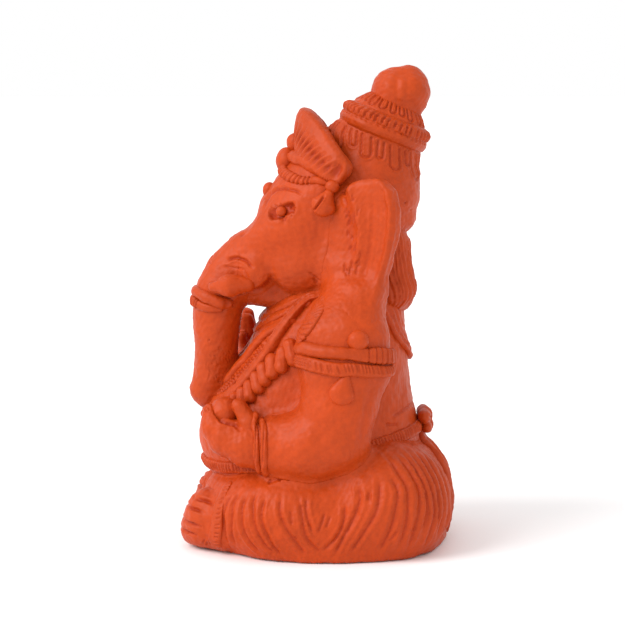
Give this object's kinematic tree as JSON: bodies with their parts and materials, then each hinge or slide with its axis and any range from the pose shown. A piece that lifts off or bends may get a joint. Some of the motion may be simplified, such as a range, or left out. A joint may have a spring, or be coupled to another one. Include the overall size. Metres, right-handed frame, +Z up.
{
  "type": "ganesha idol",
  "caption": "Seated elephant-headed devotional figure in matte terracotta, with a tall domed crown, hanging trunk, armlets, garland and pleated dhoti.",
  "frame": {"origin": "centre of the box round the figure, on the plane of its flat underside", "axes": "+Z up along the height; the figure faces -Y; its left hand side, with the open hand that holds a sweet, is +X"},
  "size_m": [0.1056, 0.1163, 0.1993],
  "materials": {
    "clay": "matte orange-red fired clay, finger-smoothed, fine pits and faint dark smudges",
    "clay_rubbed": "the same fired clay in thin luted strips and rolls, tool-cut and a little darker in the cuts"
  },
  "bodies": {
    "root": {"lap": "clay", "torso": "clay", "head": "clay", "crown_body": "clay", "trunk": "clay", "left_ear": "clay", "right_ear": "clay", "left_tusk": "clay", "right_tusk": "clay", "left_eye": "clay", "right_eye": "clay", "left_arm": "clay", "right_arm": "clay", "left_hand": "clay", "right_hand": "clay", "left_thumb": "clay", "right_thumb": "clay", "sweet_ball": "clay", "left_foot": "clay", "right_foot": "clay", "crown_ring": "clay_rubbed", "crown_cap": "clay", "crown_knob": "clay", "crest": "clay_rubbed", "crest_roll": "clay", "brow_band": "clay", "crest_bosses": "clay", "forehead_bead": "clay", "left_temple_bead": "clay", "right_temple_bead": "clay", "left_temple_drop": "clay", "right_temple_drop": "clay", "trunk_roll": "clay_rubbed", "trunk_strip": "clay_rubbed", "left_armlet_roll": "clay_rubbed", "right_armlet_roll": "clay_rubbed", "left_armlet_strip": "clay_rubbed", "right_armlet_strip": "clay_rubbed", "left_armlet_bead": "clay", "right_armlet_bead": "clay", "left_armlet_drop": "clay", "right_armlet_drop": "clay", "left_bracelet": "clay_rubbed", "right_bracelet": "clay_rubbed", "sacred_strap": "clay_rubbed", "collar": "clay", "necklace": "clay", "left_shoulder_band": "clay_rubbed", "right_shoulder_band": "clay_rubbed", "garland": "clay", "hair_locks": "clay_rubbed", "back_shawl": "clay", "waist_belt": "clay_rubbed", "waist_knot": "clay", "dhoti_tail": "clay_rubbed", "front_fold": "clay", "left_ankle_hem": "clay_rubbed", "right_ankle_hem": "clay_rubbed"}
  },
  "joints": []
}
